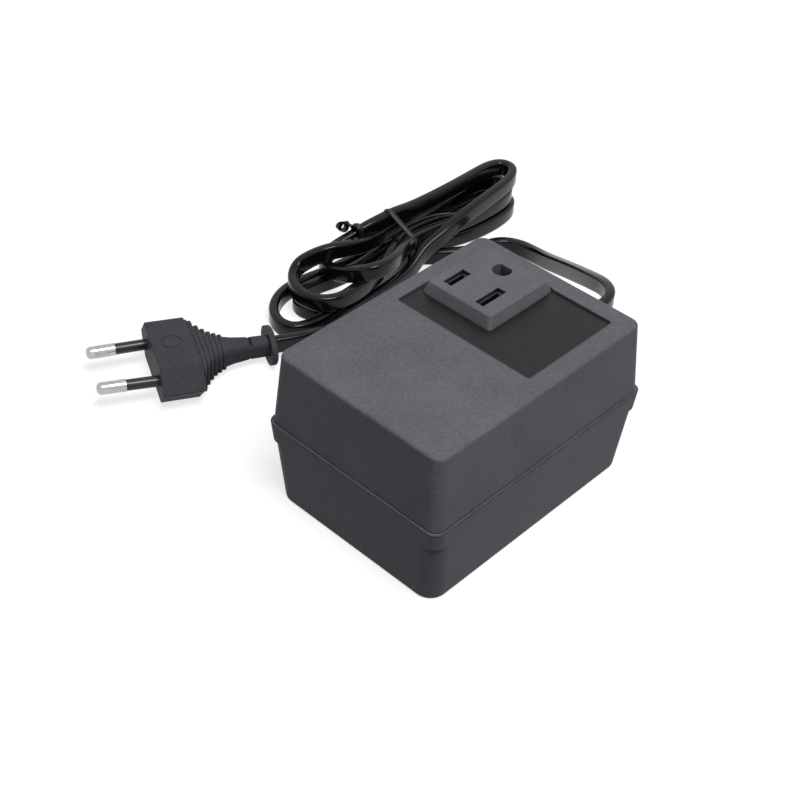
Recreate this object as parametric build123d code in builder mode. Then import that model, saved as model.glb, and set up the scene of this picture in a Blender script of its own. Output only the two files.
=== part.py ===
from build123d import *
import math
import os

os.makedirs("parts", exist_ok=True)

# Lengths are in millimetres. The base stands on Z = 0 with its centre at the origin.
# +X runs along the case towards the end that the cord leaves, and +Z is up.

# Case
case_height = 52.2
parting_height = 28.4
base_length = 83.4
base_width = 60.5
parting_length = 88.0
parting_width = 64.9
top_length = 83.4
top_width = 59.9
corner_radius = 3.4
foot_corner_radius = 5.4
rim_band = 6.2
rim_step = 0.7
top_edge_radius = 1.0
base_edge_radius = 1.2
wall = 2.5
lip_height = 1.8
lip_thickness = 1.1
fit_clearance = 0.15
seat_gap = 0.2
overrun = 2.0

# Case screws, driven from below
screw_end_inset = 8.2
screw_side_inset = 7.15
screw_radius = 1.5
screw_head_radius = 2.7
screw_head_height = 1.9
screw_seat_height = 12.0
screw_engagement = 8.0
screw_hole_clearance = 0.3
screw_cross_width = 0.8
screw_head_round_share = 0.33
pilot_clearance = 0.02
boss_radius = 4.0
upper_boss_radius = 3.6

# Label recess in the top
recess_length = 35.6
recess_end_margin = 6.4
recess_back_margin = 5.45
recess_front_margin = 6.25
recess_depth = 0.8
recess_corner_radius = 0.6
label_thickness = 0.25
label_margin = 0.25

# Socket insert
socket_end_overhang = 0.15
socket_side_margin = 1.15
socket_slope_inset = 1.3
socket_foot_length = 27.6
socket_foot_width = 26.1
socket_rise = 3.2
socket_corner_radius = 1.2
socket_edge_radius = 0.5
flange_thickness = 1.5
flange_margin = 1.6
flange_ear = 4.6
stake_radius = 1.1
stake_head_radius = 1.8
stake_head_height = 0.8
stake_spread = 9.0

# Slots and ground hole
slot_setback = 5.4
slot_shift = 0.65
slot_pitch = 12.7
live_slot_length = 8.5
neutral_slot_length = 9.8
slot_width = 3.1
slit_width = 2.2
slit_inset = 0.8
slot_lead_in = 1.3
ground_distance = 12.2
ground_radius = 2.95
ground_flat_distance = 2.1

# Contact chambers under the slots
chamber_length = 7.2
chamber_width = 5.0
chamber_wall = 1.2
chamber_depth = 13.0
chamber_cover_thickness = 1.5
chamber_cover_margin = 1.0
contact_length = 6.6
contact_thickness = 0.6
contact_base_width = 4.0
contact_mouth_width = 3.6
contact_grip_width = 1.8
contact_height = 10.8
contact_grip_share = 0.72
contact_tail_length = 5.0
contact_tail_width = 3.0
contact_clearance = 0.4
cover_screw_radius = 1.1
cover_screw_length = 7.0
cover_screw_head_radius = 2.2
cover_screw_head_height = 1.3

# Transformer
core_bolt_hole_radius = 1.7
core_floor_gap = 1.0
core_top_gap = 6.2
core_side_gap = 4.0
core_post_gap = 0.5
bobbin_wall = 1.0
bobbin_clearance = 0.3
winding_gap = 0.3
cover_gap = 0.8
fuse_wall_gap = 0.3
tape_thickness = 0.4
tag_length = 5.0
tag_width = 1.4
tag_thickness = 0.6
tag_pitch = 8.0
tag_count = 4
fuse_radius = 1.2
fuse_length = 9.0
fuse_gap = 0.1
cradle_height = 10.0
rib_thickness = 1.5
rib_gap = 0.3

# Wires inside
wire_radius = 0.9
wire_pitch = 2.5
wire_straight = 6.0
wire_bend_radius = 3.0

# Cord and strain relief
cord_width = 5.8
cord_thickness = 3.3
boot_length = 20.0
boot_root_width = 7.4
boot_root_height = 10.4
boot_tip_width = 4.9
boot_tip_height = 7.6
boot_collar_thickness = 1.8
boot_collar_margin = 1.4
boot_neck_width = 6.4
boot_neck_height = 9.0
boot_ring_count = 4
boot_ring_width = 1.5
boot_ring_depth = 0.6
boot_corner_share = 0.35

# Plug, lying on its block's back edge and its flange: its front face, and the way that its pins point
plug_face = (-35.4, 95.3)
plug_angle = 153.0
plug_tilt = 2.5
plug_thickness = 13.7
plug_flat_width = 23.8
plug_middle_width = 35.3
plug_block_depth = 12.6
plug_groove_width = 0.8
plug_groove_depth = 0.8
plug_edge_radius = 0.8
plug_flange_place = 37.0
plug_flange_width = 15.0
plug_flange_height = 11.8
plug_flange_edge_radius = 0.7
plug_length = 39.0
plug_ridge_count = 6
plug_ridge_pitch = 1.6
plug_ridge_width = 0.9
plug_ridge_height = 0.35
plug_button_place = 6.2
plug_button_radius = 3.5
plug_button_groove = 0.9
plug_button_depth = 0.3
plug_slit_place = 31.0
plug_slit_length = 5.0
plug_slit_width = 1.0
plug_slit_depth = 1.6
# Distance behind the face, width and height of the neck at each of its sections
plug_neck_sections = [
    (13.2, 27.0, 12.1),
    (15.6, 19.0, 11.2),
    (18.2, 13.6, 10.2),
    (21.5, 9.6, 9.0),
    (25.5, 7.2, 8.1),
    (31.0, 5.6, 7.4),
    (37.0, 5.4, 7.2),
]
neck_corner_share = 0.35

# Plug pins
pin_radius = 2.0
pin_bare_length = 9.0
pin_core_radius = 1.5
pin_spacing = 19.0
pin_tip_spacing = 18.0
pin_embed = 7.0
pin_tip_radius = 1.6
sleeve_radius = 1.8
sleeve_length = 10.0
sleeve_embed = 1.0

# Tie round the hank's waist
tie_width = 2.2
tie_thickness = 0.7
tie_gap = 0.1


def rounded(height, size, radius):
    """A rounded rectangle centred over the base at a height."""
    with BuildSketch(Plane.XY.offset(height)) as sketch:
        RectangleRounded(*size, radius)
    return sketch.sketch


def between(low_size, high_size, share):
    """The length and width part of the way from one size to another."""
    return tuple(low + (high - low) * share for low, high in zip(low_size, high_size))


def lower_size(height):
    """Outside length and width of the lower shell at a height."""
    share = height / parting_height
    return between((base_length, base_width), (parting_length, parting_width), share)


def upper_size(height):
    """Outside length and width of the upper shell at a height."""
    share = (height - parting_height) / (case_height - parting_height)
    rim = (parting_length - 2 * rim_step, parting_width - 2 * rim_step)
    return between(rim, (top_length, top_width), share)


def inset(size, amount):
    """A length and width drawn in on every side."""
    return tuple(side - 2 * amount for side in size)


def boot_notch():
    """The opening in the shells' end walls that holds the strain relief's neck."""
    with BuildPart() as notch:
        with BuildSketch(Plane.YZ.offset(collar_back_x)):
            with Locations((0, boot_height)):
                Rectangle(boot_neck_width + 2 * fit_clearance, boot_neck_height + 2 * fit_clearance)
        extrude(amount=boot_root_x - collar_back_x)
    return notch.part


def screw_places():
    """Centres of the four case screws."""
    return [(x, y) for x in (-screw_x, screw_x) for y in (-screw_y, screw_y)]


# Heights and places that several pieces share
ledge_height = parting_height - rim_band
screw_x = min(base_length, parting_length, top_length) / 2 - screw_end_inset
screw_y = min(base_width, parting_width, top_width) / 2 - screw_side_inset
top_inside = case_height - wall
recess_floor = case_height - recess_depth
socket_face = case_height + socket_rise
recess_far_x = top_length / 2 - recess_end_margin
recess_near_x = recess_far_x - recess_length
recess_far_y = top_width / 2 - recess_back_margin
recess_near_y = recess_front_margin - top_width / 2
socket_x = recess_far_x + socket_end_overhang - socket_foot_length / 2
socket_y = recess_far_y - socket_side_margin - socket_foot_width / 2
slot_x = socket_x - slot_setback
slot_y = socket_y + slot_shift
flange_bottom = top_inside - flange_thickness
stake_x = socket_x - socket_foot_length / 2 - flange_ear / 2
stake_y = socket_y - socket_foot_width / 2 - flange_ear / 2
stake_places = [
    (stake_x, socket_y - stake_spread),
    (stake_x, socket_y + stake_spread),
    (socket_x - stake_spread, stake_y),
    (socket_x + stake_spread, stake_y),
]
slot_side = slot_pitch / 2
ground_x = slot_x + ground_distance
chamber_half_length = chamber_length / 2 + chamber_wall
chamber_half_width = slot_side + chamber_width / 2 + chamber_wall
chamber_bottom = flange_bottom + slot_lead_in - chamber_depth
cover_bottom = chamber_bottom - chamber_cover_thickness
core_bottom = wall + core_floor_gap
core_top = top_inside - core_top_gap
inner_corner_radius = corner_radius - wall
lip_inset = wall - lip_thickness
slot_places = ((slot_y + slot_side, live_slot_length), (slot_y - slot_side, neutral_slot_length))
pocket_top = chamber_bottom + contact_height + contact_clearance
# The transformer fills the room between the end wall, the screw posts and the contact chambers
room_length, room_width = (
    min(sides) - 2 * wall
    for sides in zip(lower_size(core_bottom), upper_size(parting_height), upper_size(core_top))
)
core_leg = (room_width / 2 - core_side_gap) / 3
core_width = 6 * core_leg
window_bottom = core_bottom + core_leg
window_top = core_top - core_leg
core_window_height = window_top - window_bottom
winding_build = core_leg - bobbin_clearance - bobbin_wall - tape_thickness - winding_gap
wrap_thickness = bobbin_clearance + bobbin_wall + winding_build + tape_thickness
wrap_end = slot_x - chamber_half_length - chamber_cover_margin - cover_gap
wrap_start = fuse_wall_gap + 2 * fuse_radius + fuse_gap - room_length / 2
core_end = wrap_end - wrap_thickness
core_start = max(wrap_start + wrap_thickness, boss_radius + core_post_gap - screw_x)
core_stack = core_end - core_start
core_x = (core_start + core_end) / 2
bobbin_size = (core_stack + 2 * bobbin_clearance, 2 * core_leg + 2 * bobbin_clearance)
tube_size = inset(bobbin_size, -bobbin_wall)
winding_size = inset(tube_size, -winding_build)
tape_size = inset(winding_size, -tape_thickness)
flange_low = window_bottom + seat_gap
flange_high = window_top - seat_gap
tag_height = flange_low + bobbin_wall / 2
tag_root_x = core_x + tape_size[0] / 2
tag_end_x = tag_root_x + tag_length
tag_places = [tag_pitch * (place - (tag_count - 1) / 2) for place in range(tag_count)]
boot_height = parting_height
case_end_x = parting_length / 2
boot_root_x = case_end_x + seat_gap
boot_tip_x = boot_root_x + boot_length
collar_width = boot_neck_width + 2 * boot_collar_margin
collar_height = boot_neck_height + 2 * boot_collar_margin
collar_seats = (
    upper_size(boot_height + collar_height / 2)[0] / 2 - wall,
    lower_size(boot_height - collar_height / 2)[0] / 2 - wall,
)
collar_face_x = min(collar_seats) - seat_gap
collar_back_x = collar_face_x - boot_collar_thickness


# Lower shell
with BuildPart() as lower_shell:
    loft(
        [
            rounded(0, lower_size(0), foot_corner_radius),
            rounded(ledge_height, lower_size(ledge_height), foot_corner_radius),
        ],
        ruled=True,
    )
    fillet(lower_shell.faces().sort_by(Axis.Z)[0].edges(), base_edge_radius)
    loft(
        [
            rounded(ledge_height, lower_size(ledge_height), corner_radius),
            rounded(parting_height, lower_size(parting_height), corner_radius),
        ],
        ruled=True,
    )
    # The inside, drawn in by the wall
    loft(
        [
            rounded(wall, inset(lower_size(wall), wall), foot_corner_radius - wall),
            rounded(ledge_height, inset(lower_size(ledge_height), wall), foot_corner_radius - wall),
        ],
        ruled=True,
        mode=Mode.SUBTRACT,
    )
    loft(
        [
            rounded(ledge_height, inset(lower_size(ledge_height), wall), foot_corner_radius - wall),
            rounded(parting_height, inset(lower_size(parting_height), wall), foot_corner_radius - wall),
        ],
        ruled=True,
        mode=Mode.SUBTRACT,
    )
    # Rebate that takes the upper shell's lip
    with BuildSketch(Plane.XY.offset(parting_height)):
        RectangleRounded(*inset(lower_size(parting_height), lip_inset), corner_radius - lip_inset)
    extrude(amount=-lip_height, mode=Mode.SUBTRACT)
    # Screw bosses, open from below for the screw heads
    with BuildSketch(Plane.XY.offset(wall / 2)):
        with Locations(*screw_places()):
            Circle(boss_radius)
    extrude(amount=parting_height - wall / 2 - seat_gap)
    with BuildSketch(Plane.XY):
        with Locations(*screw_places()):
            Circle(screw_head_radius + screw_hole_clearance)
    extrude(amount=screw_seat_height, mode=Mode.SUBTRACT)
    with BuildSketch(Plane.XY):
        with Locations(*screw_places()):
            Circle(screw_radius + screw_hole_clearance)
    extrude(amount=parting_height, mode=Mode.SUBTRACT)
    # Two pads that carry the core, and the corner ribs that keep it in place
    with BuildSketch(Plane.XY.offset(wall / 2)):
        with Locations((core_x, core_width / 3), (core_x, -core_width / 3)):
            Rectangle(core_stack, core_leg)
    extrude(amount=core_bottom - wall / 2)
    rib_x = core_stack / 2 + rib_gap + rib_thickness / 2
    with BuildSketch(Plane.XY.offset(wall / 2)):
        with Locations((core_x, 0)):
            with GridLocations(2 * rib_x, core_width - core_leg, 2, 2):
                Rectangle(rib_thickness, core_leg)
    extrude(amount=cradle_height)
    add(boot_notch(), mode=Mode.SUBTRACT)


# How far the webs of the screw posts reach: into the wall, at both of their ends
post_web_end = [
    (inner + outer) / 4
    for inner, outer in zip(inset(upper_size(parting_height), wall), upper_size(flange_bottom))
]

# Upper shell
with BuildPart() as upper_shell:
    loft(
        [
            rounded(parting_height, upper_size(parting_height), corner_radius),
            rounded(case_height, upper_size(case_height), corner_radius),
        ],
        ruled=True,
    )
    fillet(upper_shell.faces().sort_by(Axis.Z)[-1].edges(), top_edge_radius)
    loft(
        [
            rounded(parting_height, inset(upper_size(parting_height), wall), inner_corner_radius),
            rounded(top_inside, inset(upper_size(top_inside), wall), inner_corner_radius),
        ],
        ruled=True,
        mode=Mode.SUBTRACT,
    )
    # Lip that stands inside the lower shell's rim
    lip_size = inset(lower_size(parting_height), lip_inset + fit_clearance)
    lip_radius = foot_corner_radius - lip_inset
    with BuildSketch(Plane.XY.offset(parting_height)):
        RectangleRounded(*lip_size, lip_radius)
        RectangleRounded(
            *inset(lip_size, lip_thickness - fit_clearance),
            inner_corner_radius,
            mode=Mode.SUBTRACT,
        )
    extrude(amount=-(lip_height - seat_gap))
    # Screw posts webbed to the walls; all but the one under the socket's flange reach the top
    with BuildSketch(Plane.XY.offset(parting_height)):
        with Locations(*screw_places()):
            Circle(upper_boss_radius)
        with GridLocations(screw_x + post_web_end[0], 2 * screw_y, 2, 2):
            Rectangle(post_web_end[0] - screw_x, rib_thickness)
        with GridLocations(2 * screw_x, screw_y + post_web_end[1], 2, 2):
            Rectangle(rib_thickness, post_web_end[1] - screw_y)
    extrude(amount=flange_bottom - seat_gap - parting_height)
    with BuildSketch(Plane.XY.offset(flange_bottom - seat_gap)):
        with Locations(*screw_places()[:-1]):
            Circle(upper_boss_radius)
    extrude(amount=wall / 2 + flange_thickness)
    with BuildSketch(Plane.XY.offset(parting_height)):
        with Locations(*screw_places()):
            Circle(screw_radius + pilot_clearance)
    extrude(amount=screw_engagement + overrun, mode=Mode.SUBTRACT)
    # Ribs that hold the core down
    with BuildSketch(Plane.XY.offset(core_top + rib_gap)):
        with Locations((core_x, core_width / 3), (core_x, -core_width / 3)):
            Rectangle(core_stack, rib_thickness)
    extrude(amount=top_inside + wall / 2 - core_top - rib_gap)
    # Label recess
    with BuildSketch(Plane.XY.offset(recess_floor)):
        with Locations(((recess_near_x + recess_far_x) / 2, (recess_near_y + recess_far_y) / 2)):
            RectangleRounded(recess_far_x - recess_near_x, recess_far_y - recess_near_y, recess_corner_radius)
    extrude(amount=recess_depth + overrun, mode=Mode.SUBTRACT)
    # Window for the socket insert
    with BuildSketch(Plane.XY.offset(top_inside - overrun)):
        with Locations((socket_x, socket_y)):
            RectangleRounded(
                socket_foot_length + 2 * fit_clearance,
                socket_foot_width + 2 * fit_clearance,
                socket_corner_radius + fit_clearance,
            )
    extrude(amount=wall + 2 * overrun, mode=Mode.SUBTRACT)
    # Posts melted over the flange of the socket insert
    with BuildSketch(Plane.XY.offset(top_inside)):
        with Locations(*stake_places):
            Circle(stake_radius)
    extrude(amount=-flange_thickness - seat_gap)
    with BuildSketch(Plane.XY.offset(flange_bottom)):
        with Locations(*stake_places):
            Circle(stake_head_radius)
    extrude(amount=-stake_head_height)
    add(boot_notch(), mode=Mode.SUBTRACT)


# Rating label, bare, on the recess floor round the socket
with BuildPart() as rating_label:
    with BuildSketch(Plane.XY.offset(recess_floor)):
        with Locations(((recess_near_x + recess_far_x) / 2, (recess_near_y + recess_far_y) / 2)):
            RectangleRounded(
                recess_far_x - recess_near_x - 2 * label_margin,
                recess_far_y - recess_near_y - 2 * label_margin,
                recess_corner_radius,
            )
        with Locations((socket_x, socket_y)):
            RectangleRounded(
                socket_foot_length + 2 * label_margin,
                socket_foot_width + 2 * label_margin,
                socket_corner_radius,
                mode=Mode.SUBTRACT,
            )
    extrude(amount=label_thickness)


# Socket insert: the block that stands out of the top, its flange and its contact chambers
flange_length = socket_foot_length + flange_margin + flange_ear
flange_width = socket_foot_width + flange_margin + flange_ear
flange_shift = (flange_margin - flange_ear) / 2

with BuildPart() as socket_insert:
    with BuildSketch(Plane.XY.offset(flange_bottom)):
        with Locations((socket_x + flange_shift, socket_y + flange_shift)):
            RectangleRounded(flange_length, flange_width, socket_corner_radius)
        with Locations(*stake_places):
            Circle(stake_radius + fit_clearance, mode=Mode.SUBTRACT)
    extrude(amount=flange_thickness)
    with BuildSketch(Plane.XY.offset(flange_bottom)):
        with Locations((socket_x, socket_y)):
            RectangleRounded(socket_foot_length, socket_foot_width, socket_corner_radius)
    extrude(amount=recess_floor - flange_bottom)
    with BuildSketch(Plane.XY.offset(recess_floor)):
        with Locations((socket_x, socket_y)):
            RectangleRounded(socket_foot_length, socket_foot_width, socket_corner_radius)
    with BuildSketch(Plane.XY.offset(socket_face)):
        with Locations((socket_x, socket_y)):
            RectangleRounded(
                *inset((socket_foot_length, socket_foot_width), socket_slope_inset),
                socket_corner_radius,
            )
    loft(ruled=True)
    fillet(socket_insert.faces().sort_by(Axis.Z)[-1].edges(), socket_edge_radius)
    # Contact chambers below, open at the bottom
    with BuildSketch(Plane.XY.offset(chamber_bottom)):
        with Locations((slot_x, slot_y)):
            RectangleRounded(2 * chamber_half_length, 2 * chamber_half_width, socket_corner_radius)
    extrude(amount=flange_bottom - chamber_bottom)
    with BuildSketch(Plane.XY.offset(chamber_bottom)):
        for place, length in slot_places:
            with Locations((slot_x, place)):
                Rectangle(chamber_length, chamber_width)
    extrude(amount=pocket_top - chamber_bottom, mode=Mode.SUBTRACT)
    # Slots, wide at the face and narrower below
    with BuildSketch(Plane.XY.offset(socket_face - slot_lead_in)):
        for place, length in slot_places:
            with Locations((slot_x, place)):
                Rectangle(length, slot_width)
    extrude(amount=slot_lead_in + overrun, mode=Mode.SUBTRACT)
    with BuildSketch(Plane.XY.offset(pocket_top)):
        for place, length in slot_places:
            with Locations((slot_x, place)):
                Rectangle(length - 2 * slit_inset, slit_width)
    extrude(amount=socket_face - pocket_top, mode=Mode.SUBTRACT)
    # Round ground hole with one flat side
    with BuildSketch(Plane.XY.offset(flange_bottom - overrun)):
        with Locations((ground_x, slot_y)):
            Circle(ground_radius)
            with Locations((ground_flat_distance + ground_radius, 0)):
                Rectangle(2 * ground_radius, 2 * ground_radius, mode=Mode.SUBTRACT)
    extrude(amount=socket_face - flange_bottom + 2 * overrun, mode=Mode.SUBTRACT)
    # Pilot hole for the screw of the back cover
    with BuildSketch(Plane.XY.offset(chamber_bottom)):
        with Locations((slot_x, slot_y)):
            Circle(cover_screw_radius + pilot_clearance)
    extrude(amount=cover_screw_length - chamber_cover_thickness + seat_gap, mode=Mode.SUBTRACT)


# Back cover that closes the contact chambers
with BuildPart() as socket_back:
    with BuildSketch(Plane.XY.offset(cover_bottom)):
        with Locations((slot_x, slot_y)):
            RectangleRounded(
                2 * (chamber_half_length + chamber_cover_margin),
                2 * (chamber_half_width + chamber_cover_margin),
                socket_corner_radius,
            )
            Circle(cover_screw_radius + screw_hole_clearance, mode=Mode.SUBTRACT)
        for place, length in slot_places:
            with Locations((slot_x, place)):
                Rectangle(
                    contact_tail_width + 2 * fit_clearance,
                    contact_thickness + 2 * fit_clearance,
                    mode=Mode.SUBTRACT,
                )
    extrude(amount=chamber_cover_thickness)


def screw(bottom, head_radius, head_height, radius, length, places):
    """Screws with round heads and a cross recess, driven upwards from a seat."""
    with BuildPart() as fastener:
        with BuildSketch(Plane.XY.offset(bottom)):
            with Locations(*places):
                Circle(head_radius)
        extrude(amount=-head_height)
        fillet(fastener.edges().group_by(Axis.Z)[0], head_height * screw_head_round_share)
        with BuildSketch(Plane.XY.offset(bottom)):
            with Locations(*places):
                Circle(radius)
        extrude(amount=length)
        with BuildSketch(Plane.XY.offset(bottom - head_height)):
            with Locations(*places):
                Rectangle(head_radius, screw_cross_width)
                Rectangle(screw_cross_width, head_radius)
        extrude(amount=head_height / 2, mode=Mode.SUBTRACT)
    return fastener.part


# Screws
socket_screw = screw(
    cover_bottom,
    cover_screw_head_radius,
    cover_screw_head_height,
    cover_screw_radius,
    cover_screw_length,
    [(slot_x, slot_y)],
)
case_screws = screw(
    screw_seat_height,
    screw_head_radius,
    screw_head_height,
    screw_radius,
    parting_height + screw_engagement - screw_seat_height,
    screw_places(),
)


def contact(place):
    """A springy strip folded into a U that grips the blade between its two leaves."""
    floor = chamber_bottom + contact_thickness / 2
    outline = [
        (-contact_mouth_width / 2, floor + contact_height - contact_thickness),
        (-contact_grip_width / 2 - contact_thickness / 2, floor + contact_height * contact_grip_share),
        (-contact_base_width / 2, floor + contact_thickness),
        (-contact_base_width / 2 + contact_thickness, floor),
    ]
    outline += [(-across, height) for across, height in reversed(outline)]
    with BuildPart() as strip:
        with BuildSketch(Plane.YZ.offset(slot_x - contact_length / 2)):
            with Locations((place, 0)):
                with BuildLine():
                    Polyline(*[(place + across, height) for across, height in outline])
                trace(line_width=contact_thickness)
        extrude(amount=contact_length)
        with BuildSketch(Plane.XY.offset(chamber_bottom)):
            with Locations((slot_x, place)):
                Rectangle(contact_tail_width, contact_thickness)
        extrude(amount=-contact_tail_length)
    return strip.part


contact_line = contact(slot_places[0][0])
contact_neutral = contact(slot_places[1][0])


# Transformer core: an E of stacked plates, closed by an I
bolt_spread = (core_width - core_leg) / 2

with BuildPart() as core_e:
    with BuildSketch(Plane.YZ.offset(core_x - core_stack / 2)):
        with Locations((0, core_bottom + (window_top - core_bottom) / 2)):
            Rectangle(core_width, window_top - core_bottom)
        with Locations((0, window_bottom + core_window_height / 2)):
            with GridLocations(3 * core_leg, 0, 2, 1):
                Rectangle(core_leg, core_window_height, mode=Mode.SUBTRACT)
        with Locations(*[(side, core_bottom + core_leg / 2) for side in (-bolt_spread, bolt_spread)]):
            Circle(core_bolt_hole_radius, mode=Mode.SUBTRACT)
    extrude(amount=core_stack)

with BuildPart() as core_i:
    with BuildSketch(Plane.YZ.offset(core_x - core_stack / 2)):
        with Locations((0, window_top + core_leg / 2)):
            Rectangle(core_width, core_leg)
        with Locations((-bolt_spread, window_top + core_leg / 2), (bolt_spread, window_top + core_leg / 2)):
            Circle(core_bolt_hole_radius, mode=Mode.SUBTRACT)
    extrude(amount=core_stack)


def ring(bottom, top, outer, inner, radius):
    """A square tube round the core's middle leg."""
    with BuildPart() as wrap:
        with BuildSketch(Plane.XY.offset(bottom)):
            with Locations((core_x, 0)):
                RectangleRounded(*outer, radius)
                Rectangle(*inner, mode=Mode.SUBTRACT)
        extrude(amount=top - bottom)
    return wrap.part


# Bobbin, its winding and the tape round it
with BuildPart() as bobbin:
    add(ring(flange_low, flange_high, tube_size, bobbin_size, bobbin_wall / 2))
    add(ring(flange_low, flange_low + bobbin_wall, tape_size, bobbin_size, bobbin_wall))
    add(ring(flange_high - bobbin_wall, flange_high, tape_size, bobbin_size, bobbin_wall))

winding_low = flange_low + bobbin_wall
winding_high = flange_high - bobbin_wall
winding = ring(winding_low, winding_high, winding_size, tube_size, winding_build / 2)

with BuildPart() as winding_tape:
    with BuildSketch(Plane.XY.offset(winding_low)):
        with Locations((core_x, 0)):
            RectangleRounded(*tape_size, winding_build / 2 + tape_thickness)
            RectangleRounded(*winding_size, winding_build / 2, mode=Mode.SUBTRACT)
    extrude(amount=winding_high - winding_low)

with BuildPart() as bobbin_tags:
    with BuildSketch(Plane.YZ.offset(tag_root_x)):
        with Locations(*[(place, tag_height) for place in tag_places]):
            Rectangle(tag_width, tag_thickness)
    extrude(amount=tag_length)

# Thermal fuse laid against the taped winding
fuse_x = core_x - tape_size[0] / 2 - fuse_gap - fuse_radius
with BuildPart() as thermal_fuse:
    with BuildSketch(Plane.XZ.offset(-fuse_length / 2)):
        with Locations((fuse_x, (winding_low + winding_high) / 2)):
            Circle(fuse_radius)
    extrude(amount=fuse_length)
    fillet(thermal_fuse.edges().filter_by(GeomType.CIRCLE), fuse_radius / 2)


def wire(start, start_way, end, end_way, straight=wire_straight):
    """An insulated wire that leaves and arrives straight, with two soft bends between."""
    first = start + start_way * straight
    last = end - end_way * wire_straight
    with BuildPart() as lead:
        with BuildLine():
            path = FilletPolyline(start, first, last, end, radius=wire_bend_radius)
        with BuildSketch(Plane(origin=start, z_dir=start_way)):
            Circle(wire_radius)
        sweep(path=path)
    return lead.part


# Wires: supply from the cord to two tags, output from the other two to the contacts
inwards = Vector(-1, 0, 0)
upwards = Vector(0, 0, 1)
contact_tail_height = chamber_bottom - contact_tail_length
tag_ends = [Vector(tag_end_x, place, tag_height) for place in tag_places]
supply_wire_line = wire(
    Vector(collar_back_x, 0, boot_height + wire_pitch / 2), inwards, tag_ends[1], inwards
)
supply_wire_neutral = wire(
    Vector(collar_back_x, 0, boot_height - wire_pitch / 2),
    inwards,
    tag_ends[0],
    inwards,
    wire_straight - wire_pitch,
)
output_wire_line = wire(
    tag_ends[3], -inwards, Vector(slot_x, slot_places[0][0], contact_tail_height), upwards
)
output_wire_neutral = wire(
    tag_ends[2], -inwards, Vector(slot_x, slot_places[1][0], contact_tail_height), upwards
)


# Strain relief moulded on the cord: collar inside, neck through the wall, tapered sleeve outside
boot_root = (boot_root_width, boot_root_height)
boot_tip = (boot_tip_width, boot_tip_height)
with BuildPart() as strain_relief:
    with BuildSketch(Plane.YZ.offset(collar_back_x)):
        with Locations((0, boot_height)):
            RectangleRounded(collar_width, collar_height, boot_collar_margin)
    extrude(amount=boot_collar_thickness)
    with BuildSketch(Plane.YZ.offset(collar_face_x)):
        with Locations((0, boot_height)):
            Rectangle(boot_neck_width, boot_neck_height)
    extrude(amount=boot_root_x - collar_face_x)
    for x, width, height in (
        (boot_root_x, boot_root_width, boot_root_height),
        (boot_tip_x, boot_tip_width, boot_tip_height),
    ):
        with BuildSketch(Plane.YZ.offset(x)):
            with Locations((0, boot_height)):
                RectangleRounded(width, height, width * boot_corner_share)
    loft(ruled=True)
    # Grooves that let the sleeve bend
    for place in range(boot_ring_count):
        share = (place + 1) / (boot_ring_count + 1)
        width, height = between(boot_root, boot_tip, share)
        with BuildSketch(Plane.YZ.offset(boot_root_x + boot_length * share - boot_ring_width / 2)):
            with Locations((0, boot_height)):
                Rectangle(boot_root_width + overrun, boot_root_height + overrun)
                RectangleRounded(
                    width - 2 * boot_ring_depth,
                    height - 2 * boot_ring_depth,
                    (width - 2 * boot_ring_depth) * boot_corner_share,
                    mode=Mode.SUBTRACT,
                )
        extrude(amount=boot_ring_width, mode=Mode.SUBTRACT)


# Plug
plug_turn, plug_lean = math.radians(plug_angle), math.radians(plug_tilt)
plug_side = Vector(math.sin(plug_turn), -math.cos(plug_turn), 0)
plug_level = Vector(-math.cos(plug_turn), -math.sin(plug_turn), 0)
plug_back = plug_level * math.cos(plug_lean) - upwards * math.sin(plug_lean)
plug_up = plug_level * math.sin(plug_lean) + upwards * math.cos(plug_lean)
plug_axis_height = plug_thickness / 2 * math.cos(plug_lean) + plug_block_depth * math.sin(plug_lean)
plug_front = Vector(*plug_face, plug_axis_height)
plug_exit = plug_front + plug_back * plug_length


def plug_plane(distance):
    """A plane square to the plug's axis, at a distance behind its face."""
    return Plane(origin=plug_front + plug_back * distance, x_dir=plug_side, z_dir=plug_back)


def plug_outline(step):
    """The block's six-sided outline, drawn in by a step."""
    middle = plug_middle_width / 2
    flat = plug_flat_width / 2
    top = plug_thickness / 2
    with BuildSketch() as sketch:
        Polygon((middle, 0), (flat, top), (-flat, top), (-middle, 0), (-flat, -top), (flat, -top), align=None)
        if step:
            offset(amount=-step, kind=Kind.INTERSECTION)
    return sketch.sketch


def neck_size(distance):
    """Width and height of the neck at a distance behind the face."""
    for near, far in zip(plug_neck_sections, plug_neck_sections[1:]):
        if near[0] <= distance <= far[0]:
            return between(near[1:], far[1:], (distance - near[0]) / (far[0] - near[0]))
    return plug_neck_sections[-1][1:]


def pin_line_ends(side):
    """Where a pin enters the face and where it points, leaning in towards the other pin."""
    root = plug_front + plug_side * (side * pin_spacing / 2)
    reach = sleeve_length + pin_bare_length
    tip = plug_front + plug_side * (side * pin_tip_spacing / 2) - plug_back * reach
    return root, (tip - root).normalized()


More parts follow.
